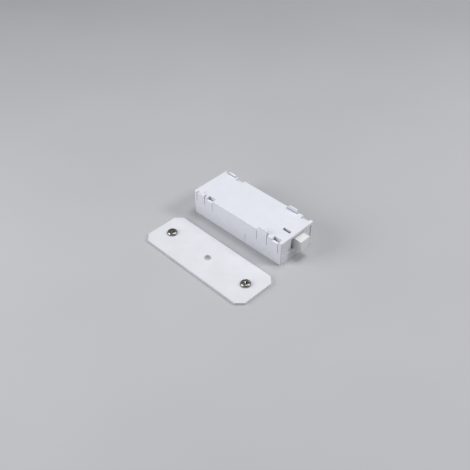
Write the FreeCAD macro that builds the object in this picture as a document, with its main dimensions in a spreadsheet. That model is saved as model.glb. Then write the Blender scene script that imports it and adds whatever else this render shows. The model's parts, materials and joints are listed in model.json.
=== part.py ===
"""Door contact sensor: a snap-in wireless housing with a sprung plunger, and its separate strike plate.

Millimetres. The origin is the centre of the housing's underside, +X runs along the housing towards
the plunger, +Y away from the strike plate, +Z up. The driving sizes are cells of the sheet "Dims", and
the objects are bound to them.
"""

import FreeCAD, Part

import math
import os
import re

import Sketcher

os.makedirs("parts", exist_ok=True)
doc = FreeCAD.newDocument("door_contact_sensor")

SIZES = {
    # Housing shell
    "housing_length": 66.0,
    "housing_width": 26.1,
    "housing_height": 15.65,
    "lid_thickness": 1.7,
    "wall": 1.4,
    "end_wall": 1.8,
    "floor_thickness": 1.4,
    "corner_radius": 0.5,
    "skirt_height": 6.3,
    "skirt_inset": 0.05,
    "skirt_draft": 2.0,
    "mark_start": 6.6,
    "mark_bottom": 0.9,
    "mark_height": 5.85,
    "mark_size": 0.3,
    # Snap ears, the wall fingers that stand above the lid
    "rear_ear_start": -30.8,
    "rear_ear_length": 5.75,
    "rear_ear_top": 17.0,
    "front_ear_start": 15.45,
    "front_ear_length": 6.95,
    "front_ear_top": 17.9,
    "ear_thickness": 1.2,
    "ear_hook": 0.5,
    "hook_height": 14.9,
    "ear_root": 10.5,
    "near_gap": 0.35,
    "far_gap": 1.2,
    "gap_bottom": 9.6,
    "ear_clearance": 1.5,
    # Lid cut-outs
    "notch_depth": 2.7,
    "rear_notch_start": -23.1,
    "front_notch_start": 26.0,
    "notch_length": 5.0,
    "notch_floor": 0.85,
    "notch_drop": 0.9,
    "notch_web": 0.5,
    "window_start": 25.1,
    "window_length": 5.1,
    "window_low": -3.5,
    "window_width": 1.8,
    # Plunger and the opening it comes out of
    "plunger_low": -2.75,
    "plunger_width": 7.0,
    "plunger_bottom": 6.4,
    "plunger_height": 6.9,
    "plunger_reach": 4.75,
    "flange_thickness": 1.7,
    "flange_height": 7.9,
    "flange_margin": 0.8,
    "guide_radius": 1.5,
    "guide_fit": 0.08,
    "opening_low": -4.4,
    "opening_width": 9.8,
    "opening_bottom": 6.3,
    "panel_low": -12.2,
    "panel_width": 23.7,
    "panel_recess": 0.5,
    "seat_start": 19.6,
    "seat_thickness": 1.4,
    "seat_low": -1.6,
    "seat_width": 5.6,
    "seat_top": 12.3,
    "spring_radius": 2.05,
    "spring_wire": 0.22,
    "spring_turns": 6,
    # Ribs inside the tray
    "rib": 1.2,
    "rib_sink": 0.2,
    "divider_start": -30.0,
    "divider_length": 45.5,
    "divider_low": -0.4,
    "divider_thickness": 1.0,
    "divider_top": 8.8,
    "bulkhead_start": 17.9,
    "bulkhead_width": 10.4,
    "bulkhead_top": 11.2,
    "saddle_top": 4.1,
    "saddle_width": 11.3,
    "post_radius": 2.2,
    "rest_start": 24.0,
    "rest_side": 2.4,
    # Lid underside
    "lip_thickness": 1.0,
    "lip_depth": 1.6,
    "lip_gap": 0.3,
    "side_lip_start": -17.0,
    "side_lip_length": 31.0,
    "rear_lip_width": 18.0,
    "foam_start": -15.0,
    "foam_length": 20.0,
    "foam_low": -9.0,
    "foam_width": 5.8,
    # Battery bay
    "cell_radius": 5.25,
    "cell_length": 43.6,
    "cell_start": -27.0,
    "cell_y": -6.1,
    "cell_z": 6.85,
    "cap_radius": 1.9,
    "cap_length": 0.9,
    "contact_thickness": 0.3,
    "contact_width": 8.9,
    "contact_bottom": 2.2,
    "contact_height": 9.2,
    "tail_low": -2.0,
    "tail_width": 4.8,
    "tail_height": 1.6,
    "tab_low": 1.5,
    "tab_width": 1.3,
    "contact_wire": 0.28,
    "contact_coil_radius": 3.6,
    "contact_coil_pitch": 1.2,
    # Circuit board and what it carries
    "board_start": -30.5,
    "board_length": 58.0,
    "board_low": 1.0,
    "board_width": 10.3,
    "board_bottom": 4.0,
    "board_thickness": 1.0,
    "board_screw_radius": 0.8,
    "board_hole_gap": 0.3,
    "board_head_radius": 1.8,
    "board_head_height": 1.2,
    "switch_start": 19.6,
    "switch_low": 4.3,
    "switch_length": 5.2,
    "switch_width": 6.9,
    "switch_height": 3.6,
    "lever_x": 25.45,
    "lever_y": 10.6,
    "lever_length": 7.4,
    "lever_thickness": 0.3,
    "lever_angle": 28.2,
    "lever_height": 2.4,
    "lever_gap": 0.6,
    "knuckle_radius": 0.6,
    "pin_radius": 0.35,
    "pin_fit": 0.05,
    "ear_plate": 0.5,
    "button_low": 7.4,
    "button_bottom": 6.1,
    "button_width": 1.2,
    "button_height": 1.4,
    "button_start": 23.6,
    "button_length": 2.15,
    "button_fit": 0.05,
    "tail_side": 0.6,
    "tail_x": 21.9,
    "pairing_x": 6.2,
    "pairing_y": 8.3,
    "pairing_side": 4.5,
    "pairing_height": 2.2,
    "pairing_radius": 1.0,
    "pairing_fit": 0.06,
    "pairing_cap_start": 1.25,
    "pairing_cap_height": 1.75,
    "antenna_x": -23.5,
    "antenna_y": 6.4,
    "antenna_radius": 2.0,
    "antenna_wire": 0.3,
    "antenna_pitch": 1.3,
    "antenna_turns": 9,
    "antenna_lift": 2.6,
    # Strike plate and its screws
    "plate_length": 75.0,
    "plate_width": 26.84,
    "plate_thickness": 1.5,
    "plate_corner": 3.7,
    "plate_x": 1.37,
    "plate_y": -36.5,
    "plate_turn": -0.64,
    "centre_hole_radius": 2.0,
    "screw_offset": 28.5,
    "screw_radius": 1.5,
    "screw_clearance": 0.1,
    "head_radius": 2.9,
    "head_height": 1.55,
    "head_round": 0.95,
    "recess_span": 3.4,
    "recess_width": 0.75,
    "recess_floor": 0.6,
}

sheet = doc.addObject("Spreadsheet::Sheet", "Dims")
for row, (alias, number) in enumerate(SIZES.items(), start=1):
    sheet.set(f"A{row}", alias.replace("_", " "))
    sheet.set(f"B{row}", str(number))
    sheet.setAlias(f"B{row}", alias)
doc.recompute()

NODES = []


def sized(text):
    """The expression with each size in it pointed at its cell of the sheet."""
    prefix = lambda word: ("Dims." if word.group() in SIZES else "") + word.group()
    return re.sub(r"[a-z_]+", prefix, str(text))


def bind(thing, **expressions):
    """Ties properties to expressions; a double underscore in a name stands for a dot."""
    for name, text in expressions.items():
        thing.setExpression(name.replace("__", "."), sized(text))


def place(thing, x=0, y=0, z=0):
    bind(thing, Placement__Base__x=x, Placement__Base__y=y, Placement__Base__z=z)


def turn(thing, axis, angle):
    thing.Placement = FreeCAD.Placement(thing.Placement.Base, FreeCAD.Rotation(FreeCAD.Vector(*axis), 1))
    bind(thing, Placement__Rotation__Angle=angle)


# ---- PartDesign helpers ----


def new_body(name):
    body = doc.addObject("PartDesign::Body", name)
    body.Label = name
    NODES.append(body)
    return body


def origin_plane(body, role):
    return next(feature for feature in body.Origin.OriginFeatures if feature.Role == role)


def new_sketch(body, name, role, offset=0):
    """A sketch on one of the body's origin planes, moved along the plane's normal by offset."""
    sketch = body.newObject("Sketcher::SketchObject", name)
    sketch.AttachmentSupport = [(origin_plane(body, role), "")]
    sketch.MapMode = "FlatFace"
    bind(sketch, AttachmentOffset__Base__z=offset)
    return sketch


def outline(sketch, points):
    """A closed outline of straight lines; each point is a pair of expressions, held by two dimensions."""
    first = sketch.GeometryCount
    count = len(points)
    angles = [math.tau * k / count for k in range(count)]
    ring = [FreeCAD.Vector(math.cos(angle), math.sin(angle)) for angle in angles]
    for k in range(count):
        sketch.addGeometry(Part.LineSegment(ring[k], ring[(k + 1) % count]))
    for k, point in enumerate(points):
        sketch.addConstraint(Sketcher.Constraint("Coincident", first + k, 2, first + (k + 1) % count, 1))
        for kind, text in zip(("DistanceX", "DistanceY"), point):
            index = sketch.addConstraint(Sketcher.Constraint(kind, -1, 1, first + k, 1, 1.0))
            sketch.setExpression(f"Constraints[{index}]", sized(text))


def rectangle(sketch, low_x, low_y, high_x, high_y):
    outline(sketch, [(low_x, low_y), (high_x, low_y), (high_x, high_y), (low_x, high_y)])


def circle(sketch, x, y, radius):
    geometry = sketch.addGeometry(Part.Circle(FreeCAD.Vector(0.1, 0.1, 0), FreeCAD.Vector(0, 0, 1), 1.0))
    for kind, text in (("DistanceX", x), ("DistanceY", y)):
        index = sketch.addConstraint(Sketcher.Constraint(kind, -1, 1, geometry, 3, 1.0))
        sketch.setExpression(f"Constraints[{index}]", sized(text))
    index = sketch.addConstraint(Sketcher.Constraint("Radius", geometry, 1.0))
    sketch.setExpression(f"Constraints[{index}]", sized(radius))


def step(body, kind, name, **expressions):
    """Adds one solid feature and makes it the body's tip."""
    feature = body.newObject(f"PartDesign::{kind}", name)
    bind(feature, **expressions)
    body.Tip = feature
    return feature


def pad(body, sketch, length, **expressions):
    feature = step(body, "Pad", sketch.Name + "_pad", Length=length, **expressions)
    feature.Profile = sketch
    return feature


def pocket(body, sketch, length, backwards=False, both_ways=False):
    """Cuts against the sketch's normal, or along it when backwards; must remove material."""
    doc.recompute()
    before = body.Shape.Volume
    feature = step(body, "Pocket", sketch.Name + "_pocket", Length=length)
    feature.Profile = sketch
    feature.Reversed = backwards
    feature.Midplane = both_ways
    doc.recompute()
    if body.Shape.Volume > before - 1e-6:
        raise RuntimeError(f"{feature.Name} cuts nothing")
    return feature


def add_box(body, name, low, size, kind="AdditiveBox"):
    feature = step(body, kind, name, Length=size[0], Width=size[1], Height=size[2])
    place(feature, *low)
    return feature


def cut_box(body, name, low, size):
    return add_box(body, name, low, size, "SubtractiveBox")


def add_rod(body, name, start, axis, radius, length, kind="AdditiveCylinder"):
    feature = step(body, kind, name, Radius=radius, Height=length)
    turn_to(feature, axis)
    place(feature, *start)
    return feature


def cut_rod(body, name, start, axis, radius, length):
    return add_rod(body, name, start, axis, radius, length, "SubtractiveCylinder")


def turn_to(thing, axis):
    rotation = FreeCAD.Rotation(FreeCAD.Vector(0, 0, 1), FreeCAD.Vector(*axis))
    thing.Placement = FreeCAD.Placement(thing.Placement.Base, rotation)


def mirror(body, name, originals):
    """Repeats features on the other long side."""
    feature = step(body, "Mirrored", name)
    feature.Originals = originals
    feature.MirrorPlane = (origin_plane(body, "XZ_Plane"), [""])
    return feature


def soften(body, name, radius, chosen, kind="Fillet"):
    """Rounds or bevels the edges that the test chosen picks."""
    doc.recompute()
    tip = body.Tip
    edges = [f"Edge{k}" for k, edge in enumerate(tip.Shape.Edges, start=1) if chosen(edge)]
    feature = step(body, kind, name)
    feature.Base = (tip, edges)
    bind(feature, **{"Radius" if kind == "Fillet" else "Size": radius})
    return feature


def is_upright(edge):
    box = edge.BoundBox
    return box.XLength < 1e-3 and box.YLength < 1e-3 and box.ZLength > 1e-3


def lies_at(z):
    return lambda edge: edge.BoundBox.ZLength < 1e-3 and abs(edge.BoundBox.ZMin - z) < 1e-3


def coil(body, sketch, pitch, turns, angle=0):
    """A round wire wound about the body's X axis."""
    feature = body.newObject("PartDesign::AdditiveHelix", sketch.Name + "_coil")
    feature.Profile = sketch
    feature.ReferenceAxis = (sketch, ["H_Axis"])
    feature.Mode = "pitch-turns-angle"
    bind(feature, Pitch=pitch, Turns=turns, Angle=angle)
    body.Tip = feature
    return feature


# ---- Part helpers ----


def block(name, low, size):
    box = doc.addObject("Part::Box", name)
    bind(box, Length=size[0], Width=size[1], Height=size[2])
    place(box, *low)
    return box


def rod(name, start, axis, radius, length):
    cylinder = doc.addObject("Part::Cylinder", name)
    turn_to(cylinder, axis)
    bind(cylinder, Radius=radius, Height=length)
    place(cylinder, *start)
    return cylinder


def combine(name, kind, shapes):
    """A Part boolean: MultiFuse or MultiCommon of all, or Cut of the first by the second."""
    result = doc.addObject(f"Part::{kind}", name)
    if kind == "Cut":
        result.Base, result.Tool = shapes
    else:
        result.Shapes = shapes
    return result


def rounded(name, base, radius, chosen):
    """A Part fillet of the edges that the test chosen picks."""
    doc.recompute()
    result = doc.addObject("Part::Fillet", name)
    result.Base = base
    result.Edges = [(k, radius, radius) for k, edge in enumerate(base.Shape.Edges, start=1) if chosen(edge)]
    return result


def node(name, thing):
    thing.Label = name
    NODES.append(thing)
    return thing


# ---- Lengths that several pieces share ----

X_AXIS = (1, 0, 0)
Z_AXIS = (0, 0, 1)
HALF_LENGTH = "(housing_length / 2)"
HALF_WIDTH = "(housing_width / 2)"
TRAY_TOP = "(housing_height - lid_thickness)"
BOARD_TOP = "(board_bottom + board_thickness)"
# Y and Z of the plunger's axis, and the face of its flange that the spring pushes on.
PLUNGER_AXIS = ("plunger_low + plunger_width / 2", "plunger_bottom + plunger_height / 2")
FLANGE_START = f"({HALF_LENGTH} - end_wall - 0.1 - flange_thickness)"
# Centres of the two board screws, and the near edges of the switch's three tails.
BOARD_POSTS = [(-27.8, 8.6), (14.2, 8.9)]
TAILS = (5.0, 7.45, 9.9)


# ---- Housing ----

# Wall slits that free the fingers: centre x, width and lowest z, the same on both long sides.
SLITS = [
    (-24.9, 0.3, 9.6),
    (-18.7, 0.3, 8.2),
    (15.3, 0.3, 8.4),
    (22.55, 0.3, 8.7),
    (30.4, 0.35, 8.2),
]


def ear_section(sketch, top):
    """A finger's cross-section on the near side: plain below, a hook at the lid's height, a ramp above it."""
    outer = f"-{HALF_WIDTH}"
    inner = f"-{HALF_WIDTH} + ear_thickness"
    outline(
        sketch,
        [
            (outer, "ear_root"),
            (outer, "hook_height - 0.75"),
            (f"{outer} - ear_hook", "hook_height"),
            (f"{outer} - ear_hook", "hook_height + 0.35"),
            (f"{outer} + 0.35", f"{top} - 0.1"),
            (f"{outer} + 0.6", top),
            (inner, top),
            (inner, "ear_root"),
        ],
    )


def trim_ears(body):
    """Slopes the ears' upper corners; the cut meets nothing else, because only the ears stand this high."""
    trim = new_sketch(body, "ear_trim", "XZ_Plane")
    before_rear = "rear_ear_start - 0.7"
    after_rear = "rear_ear_start + rear_ear_length + 1"
    before_front = "front_ear_start - 1"
    rear_peak = ("rear_ear_start + 1.6", "rear_ear_top + 0.02")
    rear_fall = ("rear_ear_start + 2.4", "rear_ear_top + 0.02")
    front_peak = ("front_ear_start + 1.5", "front_ear_top + 0.02")
    outline(trim, [(before_rear, "rear_ear_top - 3.8"), rear_peak, (before_rear, 19)])
    outline(trim, [rear_fall, (after_rear, "rear_ear_top - 1.3"), (after_rear, 19)])
    outline(trim, [(before_front, "front_ear_top - 2.5"), front_peak, (before_front, 19)])
    pocket(body, trim, "housing_width + 10", both_ways=True)


def housing_tray():
    body = new_body("housing_tray")
    skirt = new_sketch(body, "skirt", "XY_Plane", "skirt_height")
    edge_x = f"({HALF_LENGTH} - skirt_inset)"
    edge_y = f"({HALF_WIDTH} - skirt_inset)"
    rectangle(skirt, f"-{edge_x}", f"-{edge_y}", edge_x, edge_y)
    lower = pad(body, skirt, "skirt_height", TaperAngle="-skirt_draft")
    lower.Reversed = True
    soften(body, "skirt_corners", "corner_radius", lambda edge: edge.BoundBox.ZLength > 6)
    walls = new_sketch(body, "walls", "XY_Plane", "skirt_height")
    rectangle(walls, f"-{HALF_LENGTH}", f"-{HALF_WIDTH}", HALF_LENGTH, HALF_WIDTH)
    pad(body, walls, f"{TRAY_TOP} - skirt_height")
    soften(body, "wall_corners", "corner_radius", lambda edge: is_upright(edge) and edge.BoundBox.ZMin > 6)
    inside = ("housing_length - wall - end_wall", "housing_width - 2 * wall", "housing_height")
    cut_box(body, "cavity", (f"-{HALF_LENGTH} + wall", f"-{HALF_WIDTH} + wall", "floor_thickness"), inside)
    soften(body, "cavity_corners", 0.6, lambda edge: is_upright(edge) and edge.BoundBox.ZLength > 12)
    outside = f"-{HALF_WIDTH} - 1"
    slits = [
        cut_box(body, f"slit_{k}", (x - width / 2, outside, low), (width, "wall + 1.01", "housing_height"))
        for k, (x, width, low) in enumerate(SLITS)
    ]
    mirror(body, "far_slits", slits)
    near_gap = ("rear_ear_start - near_gap", outside, "gap_bottom")
    cut_box(body, "near_rear_gap", near_gap, ("near_gap", "wall + 1.01", "housing_height"))
    far_gap = ("rear_ear_start - far_gap", f"{HALF_WIDTH} - wall - 0.01", "gap_bottom")
    cut_box(body, "far_rear_gap", far_gap, ("far_gap", "wall + 1.01", "housing_height"))
    mark = ("mark_size", "1 + mark_size", "mark_height")
    cut_box(body, "mould_mark", ("mark_start", outside, "mark_bottom"), mark)
    ears = []
    for side in ("rear", "front"):
        section = new_sketch(body, f"{side}_ear", "YZ_Plane", f"{side}_ear_start")
        ear_section(section, f"{side}_ear_top")
        ears.append(pad(body, section, f"{side}_ear_length"))
    mirror(body, "far_ears", ears)
    trim_ears(body)
    end_face = f"{HALF_LENGTH} - panel_recess"
    cut_box(body, "end_panel", (end_face, "panel_low", "skirt_height"), (2, "panel_width", "housing_height"))
    opening_size = ("end_wall + 2", "opening_width", "housing_height")
    cut_box(body, "opening", (f"{HALF_LENGTH} - end_wall - 1", "opening_low", "opening_bottom"), opening_size)
    inside_ribs(body)


def inside_ribs(body):
    """Ribs of the battery bay and the board, each sunk a little into the floor and wall that carry it."""
    base = "floor_thickness - rib_sink"
    near_wall = f"-{HALF_WIDTH} + wall - rib_sink"
    divider = ("divider_length", "divider_thickness", f"divider_top - ({base})")
    add_box(body, "bay_divider", ("divider_start", "divider_low", base), divider)
    bulkhead = ("rib", "bulkhead_width", f"bulkhead_top - ({base})")
    add_box(body, "bay_bulkhead", ("bulkhead_start", near_wall, base), bulkhead)
    for name, start in (("rear_saddle", -16), ("front_saddle", 6)):
        add_box(body, name, (start, near_wall, base), ("rib", "saddle_width", f"saddle_top - ({base})"))
    trough = ("cell_start - 1", "cell_y", "cell_z")
    cut_rod(body, "cell_trough", trough, X_AXIS, "cell_radius + 0.08", "bulkhead_start - cell_start + 0.9")
    seat = ("seat_thickness", "seat_width", f"seat_top - ({base})")
    add_box(body, "spring_seat", ("seat_start", "seat_low", base), seat)
    hole = ("seat_start - 0.6", *PLUNGER_AXIS)
    cut_rod(body, "guide_hole", hole, X_AXIS, "guide_radius + guide_fit", "seat_thickness + 1.6")
    post_height = f"board_bottom - ({base})"
    for k, (x, y) in enumerate(BOARD_POSTS):
        add_rod(body, f"board_post_{k}", (x, y, base), Z_AXIS, "post_radius", post_height)
        cut_rod(body, f"post_hole_{k}", (x, y, "floor_thickness"), Z_AXIS, "board_screw_radius", 5)
    rest = ("rest_start", f"{HALF_WIDTH} - wall - rest_side + rib_sink", base)
    add_box(body, "board_rest", rest, ("rest_side", "rest_side", post_height))


def top_lid():
    body = new_body("top_lid")
    plate = new_sketch(body, "lid_plate", "XY_Plane", TRAY_TOP)
    rectangle(plate, f"-{HALF_LENGTH}", f"-{HALF_WIDTH}", HALF_LENGTH, HALF_WIDTH)
    pad(body, plate, "lid_thickness")
    soften(body, "lid_corners", "corner_radius", is_upright)
    near = f"-{HALF_WIDTH} - 1"
    below = f"{TRAY_TOP} - 3"
    notch_size = ("notch_length", "notch_depth + 1", 9)
    beside_ear = ("rear_ear_length + 0.75", "ear_clearance + 1", 9)
    front_ear_size = ("front_ear_length + 1.05", "ear_clearance + 1", 9)
    cuts = [
        cut_box(body, "rear_ear_cut", ("rear_ear_start", near, below), beside_ear),
        cut_box(body, "front_ear_cut", ("front_ear_start - 0.5", near, below), front_ear_size),
        cut_box(body, "rear_notch", ("rear_notch_start", near, below), notch_size),
        cut_box(body, "front_notch", ("front_notch_start", near, below), notch_size),
    ]
    mirror(body, "far_cuts", cuts)
    near_gap = ("near_gap + 0.01", "ear_clearance + 1", 9)
    cut_box(body, "near_rear_gap", ("rear_ear_start - near_gap", near, below), near_gap)
    far_gap = ("far_gap + 0.01", "ear_clearance + 1", 9)
    far_corner = ("rear_ear_start - far_gap", f"{HALF_WIDTH} - ear_clearance", below)
    cut_box(body, "far_rear_gap", far_corner, far_gap)
    shelves = []
    shelf_z = f"{TRAY_TOP} - notch_drop - notch_floor"
    shelf_y = f"-{HALF_WIDTH} + wall + lip_gap"
    web_y = f"-{HALF_WIDTH} + notch_depth"
    for side, beyond in (("rear", 0.4), ("front", -0.1)):
        start = f"{side}_notch_start - 0.4"
        length = f"notch_length + 0.4 + {beyond}"
        shelf_size = (length, "notch_depth - wall - lip_gap + notch_web", "notch_floor")
        web_size = (length, "notch_web", "notch_drop + notch_floor + rib_sink")
        shelves.append(add_box(body, f"{side}_notch_shelf", (start, shelf_y, shelf_z), shelf_size))
        shelves.append(add_box(body, f"{side}_notch_web", (start, web_y, shelf_z), web_size))
    mirror(body, "far_shelves", shelves)
    cut_box(body, "window", ("window_start", "window_low", below), ("window_length", "window_width", 9))
    lip_z = f"{TRAY_TOP} - lip_depth"
    lip_height = "lip_depth + rib_sink"
    side_lip = ("side_lip_start", f"-{HALF_WIDTH} + wall + lip_gap", lip_z)
    lip = add_box(body, "side_lip", side_lip, ("side_lip_length", "lip_thickness", lip_height))
    mirror(body, "far_lip", [lip])
    rear_lip = (f"-{HALF_LENGTH} + wall + lip_gap", "-rear_lip_width / 2", lip_z)
    add_box(body, "rear_lip", rear_lip, ("lip_thickness", "rear_lip_width", lip_height))
    soften(body, "top_edge", 0.22, lies_at(SIZES["housing_height"]))


def battery_pad():
    """Foam under the lid that keeps the cell from rattling."""
    bottom = "cell_z + cell_radius + 0.3"
    size = ("foam_length", "foam_width", f"{TRAY_TOP} - ({bottom})")
    foam = block("foam_block", ("foam_start", "foam_low", bottom), size)
    node("battery_pad", rounded("foam_shape", foam, 0.5, is_upright))


# ---- Plunger and microswitch ----


def plunger():
    """The block that stands out of the end, the flange that keeps it in, and the pin that guides it."""
    body = new_body("plunger")
    block_size = (f"{HALF_LENGTH} + plunger_reach - {FLANGE_START}", "plunger_width", "plunger_height")
    add_box(body, "plunger_block", (FLANGE_START, "plunger_low", "plunger_bottom"), block_size)
    tip_x = SIZES["housing_length"] / 2 + SIZES["plunger_reach"]
    at_tip = lambda edge: edge.BoundBox.XLength < 1e-3 and abs(edge.BoundBox.XMin - tip_x) < 1e-3
    soften(body, "tip_edges", 0.35, at_tip)
    corner = (FLANGE_START, "plunger_low", "opening_bottom - flange_margin")
    far_edge = "opening_low + opening_width + flange_margin"
    flange_size = ("flange_thickness", f"{far_edge} - plunger_low", "flange_height")
    add_box(body, "flange", corner, flange_size)
    pin_start = "seat_start + 0.4"
    pin_length = f"{FLANGE_START} - ({pin_start}) + rib_sink"
    add_rod(body, "guide_pin", (pin_start, *PLUNGER_AXIS), X_AXIS, "guide_radius", pin_length)


def plunger_spring():
    body = new_body("plunger_spring")
    wire = new_sketch(body, "spring_section", "XZ_Plane")
    circle(wire, "spring_wire + 0.03", "spring_radius", "spring_wire")
    room = f"({FLANGE_START} - seat_start - seat_thickness)"
    coil(body, wire, f"({room} - 2 * spring_wire - 0.06) / spring_turns", "spring_turns")
    place(body, "seat_start + seat_thickness", *PLUNGER_AXIS)


def microswitch_case():
    body = new_body("microswitch_case")
    low = ("switch_start", "switch_low", BOARD_TOP)
    add_box(body, "switch_block", low, ("switch_length", "switch_width", "switch_height"))
    soften(body, "switch_corners", 0.3, is_upright)
    face = "(switch_start + switch_length)"
    for name, bottom in (("lower_ear", BOARD_TOP), ("upper_ear", f"{BOARD_TOP} + switch_height - ear_plate")):
        add_box(body, name, (f"{face} - 0.5", "lever_y - 0.7", bottom), (1.8, 1.3, "ear_plate"))
    pin_foot = ("lever_x", "lever_y", "board_bottom")
    cut_rod(body, "pin_hole", pin_foot, Z_AXIS, "pin_radius", "switch_height + 2")
    pocket_low = (f"{face} - 2", "button_low - button_fit", "button_bottom - button_fit")
    pocket_size = (3, "button_width + 2 * button_fit", "button_height + 2 * button_fit")
    cut_box(body, "button_pocket", pocket_low, pocket_size)


def microswitch_parts():
    low = ("button_start", "button_low", "button_bottom")
    button = block("button_block", low, ("button_length", "button_width", "button_height"))
    node("microswitch_button", rounded("button_shape", button, 0.3, is_upright))
    pin = rod("lever_pin_rod", ("lever_x", "lever_y", BOARD_TOP), Z_AXIS, "pin_radius", "switch_height")
    node("lever_pin", pin)

    lever = new_body("microswitch_lever")
    strip_low = ("-lever_thickness / 2", "-lever_length", 0)
    add_box(lever, "lever_strip", strip_low, ("lever_thickness", "lever_length", "lever_height"))
    add_rod(lever, "knuckle", (0, 0, 0), Z_AXIS, "knuckle_radius", "lever_height")
    cut_rod(lever, "knuckle_hole", (0, 0, -1), Z_AXIS, "pin_radius + pin_fit", "lever_height + 2")
    turn(lever, Z_AXIS, "lever_angle")
    place(lever, "lever_x", "lever_y", f"{BOARD_TOP} + lever_gap")

    tail_low = "board_bottom - 0.7"
    tail_size = ("tail_side", "tail_side", "board_thickness + 0.7")
    tails = [block(f"tail_{k}", ("tail_x", y, tail_low), tail_size) for k, y in enumerate(TAILS)]
    node("microswitch_pins", combine("tail_group", "MultiFuse", tails))


# ---- Battery bay ----


def battery():
    can = rod("can", ("cell_start", "cell_y", "cell_z"), X_AXIS, "cell_radius", "cell_length")
    node("battery_cell", rounded("can_shape", can, 0.5, lambda edge: edge.BoundBox.XLength < 1e-3))
    cap = rod("cap", ("cell_start + cell_length", "cell_y", "cell_z"), X_AXIS, "cap_radius", "cap_length")
    tip_x = SIZES["cell_start"] + SIZES["cell_length"] + SIZES["cap_length"]
    node("battery_cap", rounded("cap_shape", cap, 0.3, lambda edge: abs(edge.BoundBox.XMin - tip_x) < 1e-3))


def contact_plate(sign, start, tab_start, tab_length):
    """A strip that stands behind one end of the cell, with a tail over the divider and a tab on the board."""
    back_low = (start, "cell_y - 4.5", "contact_bottom")
    back = block(f"{sign}_back", back_low, ("contact_thickness", "contact_width", "contact_height"))
    tail_size = ("contact_thickness", "tail_width", "tail_height")
    tail = block(f"{sign}_tail", (start, "tail_low", BOARD_TOP), tail_size)
    tab_size = (tab_length, "tab_width", "contact_thickness")
    tab = block(f"{sign}_tab", (tab_start, "tab_low", BOARD_TOP), tab_size)
    node(f"battery_{sign}_plate", combine(f"{sign}_strip", "MultiFuse", [back, tail, tab]))


def battery_contacts():
    rear = f"-{HALF_LENGTH} + wall + 0.15"
    contact_plate("negative", rear, rear, 2.4)
    front = "cell_start + cell_length + cap_length"
    contact_plate("positive", front, f"{front} - 1.5", 1.8)
    spring = new_body("battery_negative_spring")
    wire = new_sketch(spring, "contact_section", "XZ_Plane")
    circle(wire, "contact_wire + 0.02", "contact_coil_radius", "contact_wire")
    coil(spring, wire, "contact_coil_pitch", 2.9, -25)
    place(spring, f"{rear} + contact_thickness", "cell_y", "cell_z")


# ---- Circuit board ----


def circuit_board():
    body = new_body("circuit_board")
    shape = new_sketch(body, "board_outline", "XY_Plane", "board_bottom")
    end = "board_start + board_length"
    back = "board_low + board_width"
    slot_start = "seat_start - 0.3"
    slot_end = "seat_start + seat_thickness + 0.3"
    slot_top = "seat_low + seat_width + 0.3"
    outline(
        shape,
        [
            ("board_start", "board_low"),
            (slot_start, "board_low"),
            (slot_start, slot_top),
            (slot_end, slot_top),
            (slot_end, "board_low"),
            (end, "board_low"),
            (end, back),
            ("board_start", back),
        ],
    )
    pad(body, shape, "board_thickness")
    holes = new_sketch(body, "board_holes", "XY_Plane", BOARD_TOP)
    for x, y in BOARD_POSTS:
        circle(holes, x, y, "board_screw_radius + board_hole_gap")
    for y in TAILS:
        circle(holes, "tail_x + tail_side / 2", f"{y} + tail_side / 2", 0.55)
    pocket(body, holes, "board_thickness")


def board_screws():
    """Two small self-tapping screws with a cross recess, driven down into the tray's posts."""
    dome_z = SIZES["board_bottom"] + SIZES["board_thickness"] + SIZES["board_head_height"]
    bottom = "floor_thickness + 0.2"
    screws = []
    for k, (x, y) in enumerate(BOARD_POSTS):
        length = f"{BOARD_TOP} - ({bottom})"
        shank = rod(f"board_shank_{k}", (x, y, bottom), Z_AXIS, "board_screw_radius", length)
        head = rod(f"board_head_{k}", (x, y, BOARD_TOP), Z_AXIS, "board_head_radius", "board_head_height")
        dome = rounded(f"board_dome_{k}", head, 0.5, lies_at(dome_z))
        screw = combine(f"board_screw_{k}", "MultiFuse", [shank, dome])
        bars = [
            block(f"board_bar_{k}_{n}", (x - span_x / 2, y - span_y / 2, dome_z - 0.7), (span_x, span_y, 2))
            for n, (span_x, span_y) in enumerate(((2.0, 0.5), (0.5, 2.0)))
        ]
        cross = combine(f"board_cross_{k}", "MultiFuse", bars)
        screws.append(combine(f"board_cut_{k}", "Cut", [screw, cross]))
    node("board_screws", combine("board_screw_pair", "MultiFuse", screws))


def board_parts():
    """The parts soldered to the board, from the plunger's far end to the switch."""
    chip = block("chip", (-8.5, 3.6, BOARD_TOP), (5, 5, 0.9))
    node("radio_chip", rounded("chip_shape", chip, 0.15, is_upright))
    can = block("crystal_can", (-1.6, 4.6, BOARD_TOP), (3.2, 2.5, 0.8))
    node("radio_crystal", rounded("crystal_shape", can, 0.4, is_upright))
    drum_height = 5.4
    drum = rod("drum", (11.0, 4.2, BOARD_TOP), Z_AXIS, 2.5, drum_height)
    board_top = SIZES["board_bottom"] + SIZES["board_thickness"]
    node("storage_capacitor", rounded("drum_shape", drum, 0.35, lies_at(board_top + drum_height)))
    lens_height = 0.9
    lens = block("lens", (1.6, 2.0, BOARD_TOP), (2.0, 1.25, lens_height))
    node("status_led", rounded("lens_shape", lens, 0.25, lies_at(board_top + lens_height)))
    places = [(-1.6, 2.2), (-1.6, 8.6), (-8.3, 9.6), (-5.6, 9.6)]
    chips = [block(f"resistor_{k}", (x, y, BOARD_TOP), (1.6, 0.8, 0.5)) for k, (x, y) in enumerate(places)]
    node("chip_resistors", combine("resistor_group", "MultiFuse", chips))


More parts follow.
